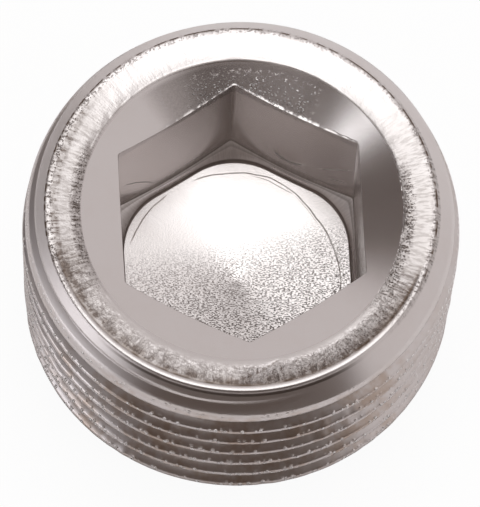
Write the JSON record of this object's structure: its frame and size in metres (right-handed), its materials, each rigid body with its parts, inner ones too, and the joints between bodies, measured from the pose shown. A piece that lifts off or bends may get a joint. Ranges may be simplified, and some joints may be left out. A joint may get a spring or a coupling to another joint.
{
  "type": "hex socket plug",
  "caption": "Headless taper pipe plug, threaded outside, with a hexagon key socket in its face, that closes a threaded port.",
  "frame": {"origin": "centre of the flat small end, where the plug's axis meets it", "axes": "+Z along the plug's axis, from the small end out through the face that holds the key socket; a corner of the socket lies 7 degrees anticlockwise of +Y"},
  "size_m": [0.0262, 0.0262, 0.0144],
  "materials": {
    "nickel_plate": "nickel plate over brass, satin to bright"
  },
  "bodies": {
    "root": {"plug_body": "nickel_plate"}
  },
  "joints": []
}
